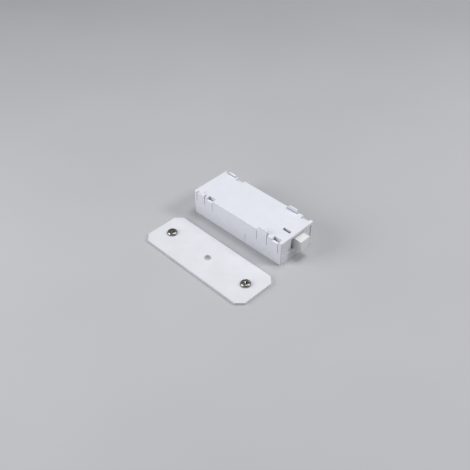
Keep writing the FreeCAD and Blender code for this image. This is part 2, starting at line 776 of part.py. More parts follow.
def antenna_coil():
    """A helical antenna that lies over the board on two straight legs."""
    body = new_body("antenna_coil")
    wire = new_sketch(body, "antenna_section", "XZ_Plane")
    circle(wire, 0, "antenna_radius", "antenna_wire")
    coil(body, wire, "antenna_pitch", "antenna_turns")
    far_end = "antenna_pitch * antenna_turns"
    for name, x in (("rear_leg", "-0.25"), ("front_leg", f"{far_end} - 0.25")):
        add_box(body, name, (x, -0.25, "-antenna_lift"), (0.5, 0.5, "antenna_lift + antenna_radius"))
    place(body, "antenna_x", "antenna_y", f"{BOARD_TOP} + antenna_lift")


def pairing_switch():
    side = "pairing_side"
    corner = (f"pairing_x - {side} / 2", f"pairing_y - {side} / 2", BOARD_TOP)
    base = block("pairing_block", corner, (side, side, "pairing_height"))
    well = ("pairing_x", "pairing_y", f"{BOARD_TOP} + pairing_cap_start - 0.35")
    hole = rod("pairing_well", well, Z_AXIS, "pairing_radius + pairing_fit", 3)
    shell = rounded("pairing_shell", base, 0.3, is_upright)
    node("pairing_switch_base", combine("pairing_cut", "Cut", [shell, hole]))
    cap_low = ("pairing_x", "pairing_y", f"{BOARD_TOP} + pairing_cap_start")
    cap = rod("pairing_rod", cap_low, Z_AXIS, "pairing_radius", "pairing_cap_height")
    stack = ("board_bottom", "board_thickness", "pairing_cap_start", "pairing_cap_height")
    cap_top = sum(SIZES[name] for name in stack)
    node("pairing_switch_cap", rounded("pairing_cap_shape", cap, 0.2, lies_at(cap_top)))


# ---- Strike plate ----


def strike_plate():
    body = new_body("strike_plate")
    shape = new_sketch(body, "plate_outline", "XY_Plane")
    x, y, corner = "plate_length / 2", "plate_width / 2", "plate_corner"
    far_right = [(f"{x} - {corner}", y), (x, f"{y} - {corner}")]
    right = far_right + [(px, f"-({py})") for px, py in reversed(far_right)]
    left = [(f"-({px})", py) for px, py in reversed(right)]
    outline(shape, right + left)
    pad(body, shape, "plate_thickness")
    holes = new_sketch(body, "plate_holes", "XY_Plane", "plate_thickness")
    circle(holes, 0, 0, "centre_hole_radius")
    for offset in ("-screw_offset", "screw_offset"):
        circle(holes, offset, 0, "screw_radius + screw_clearance")
    pocket(body, holes, "plate_thickness")
    turn(body, Z_AXIS, "plate_turn")
    place(body, "plate_x", "plate_y")


def plate_screws():
    """Two pan-head machine screws with a cross recess; their shanks end flush with the plate's underside."""
    head_top = SIZES["plate_thickness"] + SIZES["head_height"]
    screws = []
    for k, (side, twist) in enumerate(((-1, 25), (1, 60))):
        x = f"plate_x + {side} * screw_offset * cos(plate_turn)"
        y = f"plate_y + {side} * screw_offset * sin(plate_turn)"
        shank = rod(f"plate_shank_{k}", (x, y, 0), Z_AXIS, "screw_radius", "plate_thickness + 0.2")
        head = rod(f"plate_head_{k}", (x, y, "plate_thickness"), Z_AXIS, "head_radius", "head_height")
        dome = rounded(f"plate_dome_{k}", head, SIZES["head_round"], lies_at(head_top))
        screw = combine(f"plate_screw_{k}", "MultiFuse", [shank, dome])
        bars = []
        for angle in (twist, twist + 90):
            back = f"recess_span / 2 * cos({angle}) - recess_width / 2 * sin({angle})"
            aside = f"recess_span / 2 * sin({angle}) + recess_width / 2 * cos({angle})"
            low = (f"{x} - ({back})", f"{y} - ({aside})", "plate_thickness + recess_floor")
            bar = block(f"plate_bar_{k}_{angle}", low, ("recess_span", "recess_width", 2))
            turn(bar, Z_AXIS, angle)
            bars.append(bar)
        cross = combine(f"plate_cross_{k}", "MultiFuse", bars)
        screws.append(combine(f"plate_cut_{k}", "Cut", [screw, cross]))
    node("plate_screws", combine("plate_screw_pair", "MultiFuse", screws))


housing_tray()
top_lid()
battery_pad()
plunger()
plunger_spring()
microswitch_case()
microswitch_parts()
battery()
battery_contacts()
circuit_board()
board_screws()
board_parts()
antenna_coil()
pairing_switch()
strike_plate()
plate_screws()
doc.recompute()

failed = [thing.Name for thing in doc.Objects if {"Invalid", "Error"} & set(thing.State)]
if failed:
    raise RuntimeError(f"failed objects: {failed}")
for thing in NODES:
    if thing.Shape.isNull() or not thing.Shape.isValid():
        raise RuntimeError(f"bad shape: {thing.Label}")
for thing in NODES:
    thing.Shape.exportStep(f"parts/{thing.Label}.step")
    print(f"{thing.Label:26s} solids {len(thing.Shape.Solids)}  volume {thing.Shape.Volume:10.2f}")
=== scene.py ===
"""Door contact sensor: looks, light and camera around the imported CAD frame. Everything is in metres."""

import json
import math

import bmesh
import bpy
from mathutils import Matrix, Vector


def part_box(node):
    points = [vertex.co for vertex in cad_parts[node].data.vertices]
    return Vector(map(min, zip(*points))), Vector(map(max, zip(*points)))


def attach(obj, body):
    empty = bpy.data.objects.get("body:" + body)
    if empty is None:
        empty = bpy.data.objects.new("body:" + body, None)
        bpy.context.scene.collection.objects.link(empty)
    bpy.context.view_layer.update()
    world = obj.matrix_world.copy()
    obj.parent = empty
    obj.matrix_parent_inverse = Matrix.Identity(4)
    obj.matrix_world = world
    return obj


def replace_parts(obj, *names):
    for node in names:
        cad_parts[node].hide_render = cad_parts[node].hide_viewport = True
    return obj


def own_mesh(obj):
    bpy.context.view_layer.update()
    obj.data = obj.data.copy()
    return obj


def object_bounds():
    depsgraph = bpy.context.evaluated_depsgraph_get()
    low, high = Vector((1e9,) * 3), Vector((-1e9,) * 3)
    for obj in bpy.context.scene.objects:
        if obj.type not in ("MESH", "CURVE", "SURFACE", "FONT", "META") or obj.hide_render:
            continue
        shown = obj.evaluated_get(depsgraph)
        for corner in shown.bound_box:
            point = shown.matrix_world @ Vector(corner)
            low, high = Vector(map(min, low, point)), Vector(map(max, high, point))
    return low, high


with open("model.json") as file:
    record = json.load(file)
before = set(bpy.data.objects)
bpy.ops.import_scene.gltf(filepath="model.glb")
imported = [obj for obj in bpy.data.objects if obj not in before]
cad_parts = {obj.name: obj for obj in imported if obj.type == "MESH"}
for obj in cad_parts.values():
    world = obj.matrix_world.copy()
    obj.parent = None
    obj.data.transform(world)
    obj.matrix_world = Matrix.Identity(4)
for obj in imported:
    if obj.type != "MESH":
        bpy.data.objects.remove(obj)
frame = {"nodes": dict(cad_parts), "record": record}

CAD_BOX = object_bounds()
MM = 0.001
NODES = frame["nodes"]


def mm(*numbers):
    return Vector(numbers) * MM


# ---- Materials ----


def new_material(name):
    """A Principled material with its tree, its links and its shader."""
    material = bpy.data.materials.new(name)
    material.use_nodes = True
    tree = material.node_tree
    return material, tree.nodes, tree.links, tree.nodes["Principled BSDF"]


def object_place(nodes):
    """Coordinates in metres that move with the piece."""
    return nodes.new("ShaderNodeTexCoord").outputs["Object"]


def stretched(nodes, links, vector, scale):
    mapping = nodes.new("ShaderNodeMapping")
    mapping.inputs["Scale"].default_value = scale
    links.new(vector, mapping.inputs["Vector"])
    return mapping.outputs["Vector"]


def noise(nodes, links, vector, scale, detail=3.0, roughness=0.5):
    """Cloudy values from 0 to 1; scale is in blobs per metre."""
    texture = nodes.new("ShaderNodeTexNoise")
    texture.inputs["Scale"].default_value = scale
    texture.inputs["Detail"].default_value = detail
    texture.inputs["Roughness"].default_value = roughness
    links.new(vector, texture.inputs["Vector"])
    return texture.outputs["Fac"]


def ramp(nodes, links, value, stops):
    """A colour ramp; stops are (position, colour) pairs."""
    node = nodes.new("ShaderNodeValToRGB")
    elements = node.color_ramp.elements
    while len(elements) < len(stops):
        elements.new(0.5)
    for element, (position, colour) in zip(elements, stops):
        element.position = position
        element.color = (*colour, 1.0)
    links.new(value, node.inputs["Fac"])
    return node.outputs["Color"]


def span(nodes, links, value, low, high, start=0.0, end=1.0):
    """A value between start and end carried to the range from low to high."""
    node = nodes.new("ShaderNodeMapRange")
    node.inputs["From Min"].default_value = start
    node.inputs["From Max"].default_value = end
    node.inputs["To Min"].default_value = low
    node.inputs["To Max"].default_value = high
    links.new(value, node.inputs["Value"])
    return node.outputs["Result"]


def mixed(nodes, links, share, first, second):
    """first where share is 0 and second where it is 1; each is a colour or a socket."""
    node = nodes.new("ShaderNodeMix")
    node.data_type = "RGBA"
    links.new(share, node.inputs["Factor"])
    for socket, value in ((node.inputs["A"], first), (node.inputs["B"], second)):
        if isinstance(value, tuple):
            socket.default_value = (*value, 1.0)
        else:
            links.new(value, socket)
    return node.outputs["Result"]


def bump(nodes, links, height, distance, under=None):
    node = nodes.new("ShaderNodeBump")
    node.inputs["Distance"].default_value = distance
    links.new(height, node.inputs["Height"])
    if under is not None:
        links.new(under, node.inputs["Normal"])
    return node.outputs["Normal"]


def crevice(nodes, links, reach, start=0.35, end=0.95):
    """An ambient-occlusion mask for painted shade: 1 in corners and slots narrower than reach, 0 on open
    faces.
    """
    node = nodes.new("ShaderNodeAmbientOcclusion")
    node.samples = 8
    node.inputs["Distance"].default_value = reach
    return span(nodes, links, node.outputs["AO"], 1.0, 0.0, start, end)


def tinted(colour, factor):
    return tuple(min(1.0, channel * factor) for channel in colour)


def edges(nodes, links, radius, low=0.0, high=1.0):
    """0 on open faces, rising to 1 on edges sharper than radius."""
    rounded_off = nodes.new("ShaderNodeBevel")
    rounded_off.samples = 4
    rounded_off.inputs["Radius"].default_value = radius
    surface = nodes.new("ShaderNodeNewGeometry")
    match = nodes.new("ShaderNodeVectorMath")
    match.operation = "DOT_PRODUCT"
    links.new(rounded_off.outputs["Normal"], match.inputs[0])
    links.new(surface.outputs["Normal"], match.inputs[1])
    return span(nodes, links, match.outputs["Value"], high, low, 0.82, 0.985)


def moulded(name, colour, rough, grain=1.4e-5, grain_scale=9000, mottle=0.05, shade_strength=0.25, coat=0.0, reach=1.0):
    """Moulded plastic: cloudy colour, uneven gloss, spark-eroded grain and painted shade darkening its
    corners and slots.
    """
    material, nodes, links, shader = new_material(name)
    place = object_place(nodes)
    cloud = noise(nodes, links, place, 160, 5.0, 0.6)
    base = ramp(nodes, links, cloud, [(0.36, tinted(colour, 1 - mottle)), (0.62, colour)])
    speck = noise(nodes, links, place, 2600, 2.0)
    spots = span(nodes, links, speck, 0.0, 0.6, 0.62, 0.8)
    base = mixed(nodes, links, spots, base, tinted(colour, 1 - 2 * mottle))
    # Painted shade: the colour darkens towards 0.45 of itself where ambient occlusion finds corners and
    # slots.
    painted_shade = crevice(nodes, links, reach * MM)
    share = span(nodes, links, painted_shade, 0.0, shade_strength)
    links.new(mixed(nodes, links, share, base, tinted(colour, 0.45)), shader.inputs["Base Color"])
    gloss = span(nodes, links, noise(nodes, links, place, 420, 4.0, 0.65), rough[0], rough[1], 0.3, 0.7)
    handled = nodes.new("ShaderNodeMath")
    handled.operation = "SUBTRACT"
    handled.use_clamp = True
    links.new(gloss, handled.inputs[0])
    links.new(edges(nodes, links, 0.3 * MM, 0.0, 0.14), handled.inputs[1])
    links.new(handled.outputs["Value"], shader.inputs["Roughness"])
    wave = bump(nodes, links, noise(nodes, links, place, 200, 1.0), 2.0e-5)
    fine = noise(nodes, links, place, grain_scale, 3.0, 0.65)
    links.new(bump(nodes, links, fine, grain, wave), shader.inputs["Normal"])
    shader.inputs["Coat Weight"].default_value = coat
    shader.inputs["Coat Roughness"].default_value = 0.3
    return material


def metal(name, colour, rough, brush=(1, 1, 1), brush_scale=6000, scratch=3e-6, recess_shade=0.5):
    """Plated or drawn metal: brushed along one way, cloudy, and darkened in its corners with painted shade.
    """
    material, nodes, links, shader = new_material(name)
    place = object_place(nodes)
    cloud = noise(nodes, links, place, 900, 4.0, 0.6)
    base = ramp(nodes, links, cloud, [(0.35, tinted(colour, 0.78)), (0.65, colour)])
    # Painted shade: corners and recesses darken towards a fifth of the colour.
    painted_shade = span(nodes, links, crevice(nodes, links, 0.8 * MM), 0.0, recess_shade)
    shaded = mixed(nodes, links, painted_shade, base, tinted(colour, 0.18))
    rubbed = edges(nodes, links, 0.12 * MM, 0.0, 0.7)
    links.new(mixed(nodes, links, rubbed, shaded, tinted(colour, 1.7)), shader.inputs["Base Color"])
    lines = noise(nodes, links, stretched(nodes, links, place, brush), brush_scale, 3.0, 0.6)
    links.new(span(nodes, links, lines, rough[0], rough[1], 0.3, 0.7), shader.inputs["Roughness"])
    links.new(bump(nodes, links, lines, scratch), shader.inputs["Normal"])
    shader.inputs["Metallic"].default_value = 1.0
    return material


def powder_coat(name, colour):
    """Baked powder paint: an orange-peel skin, a soft sheen and a few pits that hold dirt."""
    material, nodes, links, shader = new_material(name)
    place = object_place(nodes)
    cloud = noise(nodes, links, place, 90, 4.0, 0.55)
    base = ramp(nodes, links, cloud, [(0.35, tinted(colour, 0.95)), (0.65, colour)])
    pits = nodes.new("ShaderNodeTexVoronoi")
    pits.inputs["Scale"].default_value = 420
    links.new(place, pits.inputs["Vector"])
    pit = span(nodes, links, pits.outputs["Distance"], 1.0, 0.0, 0.03, 0.09)
    patch = span(nodes, links, noise(nodes, links, place, 210, 2.0), 0.0, 0.5, 0.58, 0.7)
    few = nodes.new("ShaderNodeMath")
    few.operation = "MULTIPLY"
    links.new(pit, few.inputs[0])
    links.new(patch, few.inputs[1])
    base = mixed(nodes, links, few.outputs[0], base, tinted(colour, 0.6))
    # Painted shade: the coat darkens in its corners, found by ambient occlusion.
    painted_shade = span(nodes, links, crevice(nodes, links, 0.9 * MM), 0.0, 0.2)
    shaded = mixed(nodes, links, painted_shade, base, tinted(colour, 0.4))
    chips = span(nodes, links, noise(nodes, links, place, 700, 4.0, 0.7), 0.0, 1.0, 0.56, 0.6)
    worn = nodes.new("ShaderNodeMath")
    worn.operation = "MULTIPLY"
    links.new(chips, worn.inputs[0])
    links.new(edges(nodes, links, 0.25 * MM, 0.0, 0.22), worn.inputs[1])
    links.new(mixed(nodes, links, worn.outputs[0], shaded, tinted(colour, 0.55)), shader.inputs["Base Color"])
    peel = noise(nodes, links, place, 1700, 2.0, 0.4)
    links.new(span(nodes, links, peel, 0.32, 0.46, 0.3, 0.7), shader.inputs["Roughness"])
    wave = bump(nodes, links, peel, 4.5e-5)
    links.new(bump(nodes, links, noise(nodes, links, place, 9000, 2.0), 2e-6, wave), shader.inputs["Normal"])
    shader.inputs["Coat Weight"].default_value = 0.12
    shader.inputs["Coat Roughness"].default_value = 0.25
    return material


def solder_mask(name, colour, trace_colour):
    """Green lacquered laminate over a glass weave."""
    material, nodes, links, shader = new_material(name)
    place = object_place(nodes)
    weave = nodes.new("ShaderNodeTexWave")
    weave.inputs["Scale"].default_value = 1400
    weave.inputs["Distortion"].default_value = 0.6
    links.new(place, weave.inputs["Vector"])
    cloud = noise(nodes, links, place, 300, 4.0)
    base = ramp(nodes, links, cloud, [(0.35, colour), (0.7, trace_colour)])
    # Painted shade: the laminate darkens round the parts, found by ambient occlusion.
    painted_shade = span(nodes, links, crevice(nodes, links, 0.8 * MM), 0.0, 0.4)
    links.new(mixed(nodes, links, painted_shade, base, tinted(colour, 0.3)), shader.inputs["Base Color"])
    links.new(span(nodes, links, cloud, 0.18, 0.34, 0.3, 0.7), shader.inputs["Roughness"])
    links.new(bump(nodes, links, weave.outputs["Fac"], 5e-6), shader.inputs["Normal"])
    return material


def foam(name, colour):
    """Closed-cell foam: a pebbled skin of small cells."""
    material, nodes, links, shader = new_material(name)
    place = object_place(nodes)
    cells = nodes.new("ShaderNodeTexVoronoi")
    cells.inputs["Scale"].default_value = 2400
    links.new(place, cells.inputs["Vector"])
    # Painted shade: each cell is darker in its sunken middle, where the bump is lowest.
    pebbled = ramp(nodes, links, cells.outputs["Distance"], [(0.1, tinted(colour, 0.5)), (0.6, colour)])
    links.new(pebbled, shader.inputs["Base Color"])
    links.new(bump(nodes, links, cells.outputs["Distance"], 9e-5), shader.inputs["Normal"])
    shader.inputs["Roughness"].default_value = 0.92
    return material


def cell_sleeve(name, low_x, high_x):
    """Shrink film round the cell: a plain dark band and a lighter one at the positive end."""
    material, nodes, links, shader = new_material(name)
    place = object_place(nodes)
    split = nodes.new("ShaderNodeSeparateXYZ")
    links.new(place, split.inputs["Vector"])
    along = span(nodes, links, split.outputs["X"], 0.0, 1.0, low_x, high_x)
    dark, pale = (0.02, 0.055, 0.13), (0.55, 0.4, 0.16)
    band = ramp(nodes, links, along, [(0.0, dark), (0.72, dark), (0.73, pale)])
    cloud = noise(nodes, links, place, 500, 3.0)
    faded = mixed(nodes, links, span(nodes, links, cloud, 0.0, 0.06, 0.4, 0.8), band, (0.3, 0.3, 0.3))
    links.new(faded, shader.inputs["Base Color"])
    links.new(span(nodes, links, cloud, 0.16, 0.3, 0.3, 0.7), shader.inputs["Roughness"])
    ripple = noise(nodes, links, stretched(nodes, links, place, (0.3, 1, 1)), 900, 2.0)
    links.new(bump(nodes, links, ripple, 5e-6), shader.inputs["Normal"])
    return material


# Colours are linear red, green and blue.
SHELL_WHITE = (0.80, 0.812, 0.85)
PLUNGER_WHITE = (0.845, 0.845, 0.835)
PLATE_WHITE = (0.79, 0.79, 0.815)

MATERIALS = {
    "shell_plastic": moulded("shell_plastic", SHELL_WHITE, (0.38, 0.52), mottle=0.025, shade_strength=0.3, reach=0.7),
    # The plunger's finish paints deep, wide shade into its corners, which darkens the gap beside it in its
    # opening.
    "plunger_plastic": moulded(
        "plunger_plastic", PLUNGER_WHITE, (0.32, 0.46), mottle=0.03, shade_strength=0.85, reach=1.7
    ),
    "plate_coating": powder_coat("plate_coating", PLATE_WHITE),
    # The plate screws get their recesses strongly darkened with painted shade.
    "plate_screw_metal": metal("plate_screw_metal", (0.40, 0.375, 0.345), (0.2, 0.38), recess_shade=0.85),
    "screw_metal": metal("screw_metal", (0.6, 0.62, 0.64), (0.2, 0.36)),
    "spring_steel": metal("spring_steel", (0.58, 0.59, 0.61), (0.2, 0.34), (0.2, 1, 1)),
    "contact_metal": metal("contact_metal", (0.76, 0.74, 0.69), (0.18, 0.32), (1, 0.15, 0.15)),
    "copper_wire": metal("copper_wire", (0.78, 0.36, 0.19), (0.22, 0.36)),
    "board_laminate": solder_mask("board_laminate", (0.012, 0.085, 0.03), (0.02, 0.13, 0.05)),
    "switch_plastic": moulded("switch_plastic", (0.03, 0.03, 0.034), (0.36, 0.5), shade_strength=0.1),
    "button_plastic": moulded("button_plastic", (0.42, 0.05, 0.035), (0.3, 0.42), shade_strength=0.3),
    "chip_plastic": moulded("chip_plastic", (0.022, 0.022, 0.024), (0.45, 0.6), mottle=0.2, shade_strength=0.1),
    "capacitor_can": moulded("capacitor_can", (0.02, 0.026, 0.07), (0.25, 0.35), coat=0.3),
    "foam": foam("foam", (0.06, 0.06, 0.065)),
    "led_lens": moulded("led_lens", (0.72, 0.74, 0.6), (0.1, 0.2), shade_strength=0.1, coat=0.6),
}
CELL_LOW, CELL_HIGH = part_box("battery_cell")
MATERIALS["cell_sleeve"] = cell_sleeve("cell_sleeve", CELL_LOW.x, CELL_HIGH.x)


# ---- CAD nodes that stay ----


def paint(node, material):
    mesh = NODES[node].data
    mesh.materials.clear()
    mesh.materials.append(material)


def ease_edges(node, width, segments=2, angle=35):
    """Merges a node's flat triangles and rounds its sharp edges, as modifiers."""
    thing = NODES[node]
    flat = thing.modifiers.new("flat_faces", "DECIMATE")
    flat.decimate_type = "DISSOLVE"
    flat.angle_limit = math.radians(0.5)
    edge = thing.modifiers.new("eased_edges", "BEVEL")
    edge.width = width
    edge.segments = segments
    edge.limit_method = "ANGLE"
    edge.angle_limit = math.radians(angle)
    edge.miter_outer = "MITER_ARC"


for subpart in frame["record"]["subparts"]:
    paint(subpart["node"], MATERIALS[subpart["material_slot"]])
paint("battery_cell", MATERIALS["contact_metal"])

for eased, width in (
    ("housing_tray", 0.14),
    ("top_lid", 0.12),
    ("plunger", 0.16),
    ("strike_plate", 0.16),
    ("microswitch_case", 0.08),
    ("circuit_board", 0.05),
    ("battery_negative_plate", 0.05),
    ("battery_positive_plate", 0.05),
    ("radio_chip", 0.06),
    ("pairing_switch_base", 0.08),
    ("microswitch_button", 0.06),
    ("microswitch_lever", 0.05),
):
    ease_edges(eased, width * MM)


# ---- New pieces ----


def add_piece(name, shape, body, slot_name, smooth=True):
    """Turns a bmesh into a piece that rides on a body and takes a slot's finish."""
    mesh = bpy.data.meshes.new(name)
    bmesh.ops.recalc_face_normals(shape, faces=shape.faces)
    shape.to_mesh(mesh)
    shape.free()
    for face in mesh.polygons:
        face.use_smooth = smooth
    mesh.materials.append(MATERIALS[slot_name])
    piece = bpy.data.objects.new(name, mesh)
    bpy.context.scene.collection.objects.link(piece)
    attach(piece, body)
    return piece


def skin(shape, rings, closed=False):
    """Faces between neighbouring rings of vertices; closed joins the last ring to the first."""
    pairs = list(zip(rings, rings[1:]))
    if closed:
        pairs.append((rings[-1], rings[0]))
    for first, second in pairs:
        count = len(first)
        for k in range(count):
            shape.faces.new((first[k], first[(k + 1) % count], second[(k + 1) % count], second[k]))


def lathe(shape, profile, centre, segments=48, axis="Z"):
    """A solid of revolution; profile is (radius, height) pairs from the bottom centre to the top centre."""
    rings = []
    for radius, height in profile:
        ring = []
        for k in range(segments):
            angle = math.tau * k / segments
            across, up = radius * math.cos(angle), radius * math.sin(angle)
            offset = Vector((across, up, height)) if axis == "Z" else Vector((height, across, up))
            ring.append(shape.verts.new(centre + offset))
        rings.append(ring)
    skin(shape, rings)
    shape.faces.new(list(reversed(rings[0])))
    shape.faces.new(rings[-1])


def soft_box(shape, low, high, round_by):
    """A box with bevelled edges."""
    made = bmesh.ops.create_cube(shape, size=1.0)["verts"]
    size = high - low
    for vertex in made:
        vertex.co = low + Vector(((vertex.co[k] + 0.5) * size[k] for k in range(3)))
    sharp = list({edge for vertex in made for edge in vertex.link_edges})
    bmesh.ops.bevel(shape, geom=sharp, offset=round_by, segments=2, profile=0.5, affect="EDGES")


def tube(shape, path, radius, sides=14):
    """A round wire along a list of points, closed at both ends."""
    rings = []
    up = Vector((0, 0, 1))
    for k, point in enumerate(path):
        ahead = (path[min(k + 1, len(path) - 1)] - path[max(k - 1, 0)]).normalized()
        side = ahead.cross(up)
        side = side.normalized() if side.length > 1e-3 else ahead.cross(Vector((0, 1, 0))).normalized()
        up = side.cross(ahead).normalized()
        around = []
        for n in range(sides):
            angle = math.tau * n / sides
            around.append(shape.verts.new(point + radius * (math.cos(angle) * side + math.sin(angle) * up)))
        rings.append(around)
    skin(shape, rings)
    shape.faces.new(list(reversed(rings[0])))
    shape.faces.new(rings[-1])


def wound_wire(start_x, length, radii, turns, centre, wire, dead_turns=1.0, steps=40):
    """Points along a compression spring on X: its end turns lie flat, and radii run from first to last."""
    total = turns + 2 * dead_turns
    points = []
    for k in range(int(total * steps) + 1):
        turned = k / steps
        live = min(max(turned - dead_turns, 0.0), turns) / turns
        flat = min(turned, dead_turns) + max(turned - dead_turns - turns, 0.0)
        x = start_x + wire + flat * 2.02 * wire + live * (length - 2 * wire - 2 * dead_turns * 2.02 * wire)
        radius = radii[0] + (radii[1] - radii[0]) * turned / total
        angle = math.tau * turned
        points.append(Vector((x, centre[0] + radius * math.cos(angle), centre[1] + radius * math.sin(angle))))
    return points


# ---- Screws with a cross recess ----


def recess_depth(x, y, span_to, width, depth):
    """Depth of a cross recess at a point of the head, with walls that lean and wings that rise outwards."""
    along, across = max(abs(x), abs(y)), min(abs(x), abs(y))
    wing = max(0.0, 1.0 - along / span_to)
    wall = min(1.0, max(0.0, (width / 2 * (1.06 - 0.3 * along / span_to) - across) / (0.16 * width)))
    core = min(1.0, max(0.0, (0.82 * width - math.hypot(x, y)) / (0.35 * width)))
    floor = depth * (0.42 + 0.58 * wing) * min(1.0, wing * 6.0)
    return max(floor * wall, 0.9 * depth * core)


def cross_screw(shape, centre, head, recess, twist, shank_radius, foot_z):
    """A pan-head screw as one closed mesh: a domed head with a cross recess, a bearing face and a shank."""
    head_radius, head_height = head
    segments, steps = 144, 44
    turn = math.radians(twist)
    spokes = [math.tau * n / segments for n in range(segments)]

    def ring(radius, height_at):
        around = []
        for angle in spokes:
            x, y = radius * math.cos(angle), radius * math.sin(angle)
            height = height_at(radius * math.cos(angle - turn), radius * math.sin(angle - turn))
            around.append(shape.verts.new(centre + Vector((x, y, height))))
        return around

    rings = []
    for k in range(1, steps + 1):
        share = k / steps
        edge = max(0.0, (share - 0.62) / 0.38)
        dome = head_height * (1.0 - 0.035 * share**2 - 0.47 * edge**2.6)
        rings.append(ring(head_radius * share, lambda x, y: dome - recess_depth(x, y, *recess)))
    rings.append(ring(head_radius, lambda x, y: 0.12 * head_height))
    rings.append(ring(head_radius * 0.97, lambda x, y: 0.0))
    rings.append(ring(shank_radius, lambda x, y: 0.0))
    rings.append(ring(shank_radius, lambda x, y: foot_z - centre.z))
    skin(shape, rings)
    middle = shape.verts.new(centre + Vector((0, 0, head_height - recess[2])))
    for n in range(segments):
        shape.faces.new((middle, rings[0][n], rings[0][(n + 1) % segments]))
    shape.faces.new(list(reversed(rings[-1])))


PLATE_HEAD_RADIUS = 2.9 * MM
PLATE_SHANK_RADIUS = 1.5 * MM
BOARD_HEAD_RADIUS = 1.8 * MM
BOARD_SHANK_RADIUS = 0.8 * MM
# Each cross recess: reach from the middle, width of a wing, depth.
PLATE_RECESS = (1.75 * MM, 0.85 * MM, 1.1 * MM)
BOARD_RECESS = (1.05 * MM, 0.52 * MM, 0.75 * MM)


def plate_screws():
    low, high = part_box("plate_screws")
    seat_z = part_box("strike_plate")[1].z
    radius = PLATE_HEAD_RADIUS
    shape = bmesh.new()
    for x, y, twist in ((low.x + radius, high.y - radius, 25), (high.x - radius, low.y + radius, 60)):
        head = (radius, high.z - seat_z)
        cross_screw(shape, Vector((x, y, seat_z)), head, PLATE_RECESS, twist, PLATE_SHANK_RADIUS, low.z)
    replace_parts(add_piece("plate_screw_pair", shape, "strike", "plate_screw_metal"), "plate_screws")


def board_screws():
    low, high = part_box("board_screws")
    seat_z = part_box("circuit_board")[1].z
    radius = BOARD_HEAD_RADIUS
    shape = bmesh.new()
    for x, y, twist in ((low.x + radius, low.y + radius, 15), (high.x - radius, high.y - radius, 50)):
        head = (radius, high.z - seat_z)
        cross_screw(shape, Vector((x, y, seat_z)), head, BOARD_RECESS, twist, BOARD_SHANK_RADIUS, low.z)
    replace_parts(add_piece("board_screw_pair", shape, "housing", "screw_metal"), "board_screws")


plate_screws()
board_screws()


# ---- Springs ----


def plunger_spring():
    low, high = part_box("plunger_spring")
    seat_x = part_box("plunger_spring")[0].x
    centre = ((low.y + high.y) / 2, (low.z + high.z) / 2)
    wire = 0.22 * MM
    radius = (high.z - low.z) / 2 - wire
    shape = bmesh.new()
    tube(shape, wound_wire(seat_x, high.x - seat_x, (radius, radius), 5.0, centre, wire), wire)
    spring = add_piece("plunger_coil", shape, "housing", "spring_steel")
    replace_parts(spring, "plunger_spring")
    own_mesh(spring)


def contact_spring():
    low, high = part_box("battery_negative_spring")
    centre = ((low.y + high.y) / 2, (low.z + high.z) / 2)
    wire = 0.27 * MM
    shape = bmesh.new()
    outer = (high.y - low.y) / 2 - wire
    length = high.x - low.x - 0.02 * MM
    tube(shape, wound_wire(low.x, length, (outer, 0.45 * outer), 2.4, centre, wire, 0.8), wire)
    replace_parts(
        add_piece("battery_contact_coil", shape, "housing", "spring_steel"), "battery_negative_spring"
    )


plunger_spring()
contact_spring()


# ---- Details on the board ----

BOARD_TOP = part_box("circuit_board")[1].z
CHIP_PINS = 8
CHIP_PIN_PITCH = 0.55
TRACK_HALF_WIDTH = 0.13

# Near left corners of the chip resistors, in millimetres.
RESISTORS = [(-1.6, 2.2), (-1.6, 8.6), (-8.3, 9.6), (-5.6, 9.6)]
# Corners of the tracks, in millimetres.
TRACKS = [
    [(-28.5, 2.2), (-24.0, 2.2), (-22.0, 4.2), (-10.5, 4.2), (-9.6, 5.1), (-8.6, 5.1)],
    [(-11.9, 6.4), (-10.2, 6.4), (-8.6, 6.4)],
    [(-3.4, 5.1), (-2.6, 5.1), (-2.0, 5.6), (-1.7, 5.6)],
    [(-3.4, 6.4), (-2.4, 6.4), (-1.7, 6.4)],
    [(-3.4, 7.7), (-2.2, 8.9), (-1.8, 8.9)],
    [(0.2, 9.0), (2.2, 9.0), (2.8, 9.6), (3.6, 9.6)],
    [(0.2, 2.6), (1.4, 2.6)],
    [(3.8, 2.6), (7.2, 2.6), (8.2, 3.6), (8.2, 4.2)],
    [(-4.9, 3.4), (-4.3, 2.6), (-1.8, 2.6)],
    [(13.8, 4.2), (16.0, 4.2), (16.6, 3.6), (16.6, 3.0)],
    [(8.9, 7.2), (11.0, 7.2), (12.0, 8.2), (12.4, 8.2)],
    [(16.5, 9.0), (18.0, 9.0), (18.8, 8.2), (19.8, 8.2)],
    [(16.5, 10.4), (19.8, 10.4)],
    [(-26.0, 9.8), (-20.0, 9.8), (-19.0, 10.6), (-9.0, 10.6), (-8.0, 10.3)],
]


def pad(shape, x, y, height, round_by):
    """A bevelled block on the board; x and y are (low, high) pairs in metres, the rest is in millimetres."""
    low = Vector((x[0], y[0], BOARD_TOP))
    high = Vector((x[1], y[1], BOARD_TOP + height * MM))
    soft_box(shape, low, high, round_by * MM)


